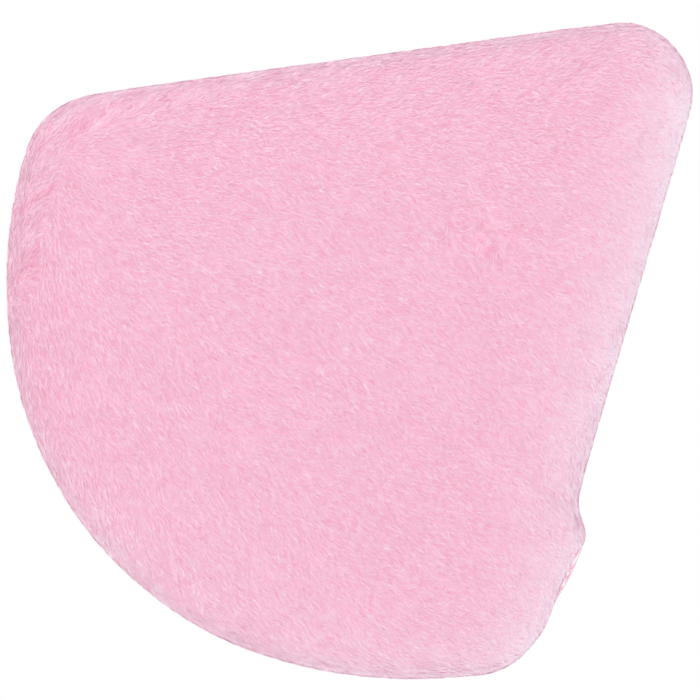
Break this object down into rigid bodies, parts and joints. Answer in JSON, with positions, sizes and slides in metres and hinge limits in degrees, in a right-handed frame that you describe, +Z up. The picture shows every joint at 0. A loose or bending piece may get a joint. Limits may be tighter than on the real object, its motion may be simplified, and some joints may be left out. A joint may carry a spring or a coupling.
{
  "type": "powder puff",
  "caption": "Fan-shaped plush powder puff: two short-pile velour covers sewn round a foam core, with a satin ribbon finger strap across the back.",
  "frame": {"origin": "on the resting plane, under the middle of the bounding box", "axes": "+Z up from the powdering face to the strap, +Y from the broad end to the pointed tip, +X to the right seen from above"},
  "size_m": [0.0756, 0.08, 0.0223],
  "materials": {
    "face_velour": "matte",
    "back_velour": "matte",
    "foam": "matte",
    "satin_ribbon": "satin",
    "overlock_thread": "matte",
    "sewing_thread": "satin"
  },
  "bodies": {
    "root": {"front_velour_cover": "face_velour", "back_velour_cover": "back_velour", "foam_core": "foam", "ribbon_strap": "satin_ribbon", "overlock_thread": "overlock_thread", "left_strap_tack": "sewing_thread", "right_strap_tack": "sewing_thread", "closing_stitches": "sewing_thread"}
  },
  "joints": []
}
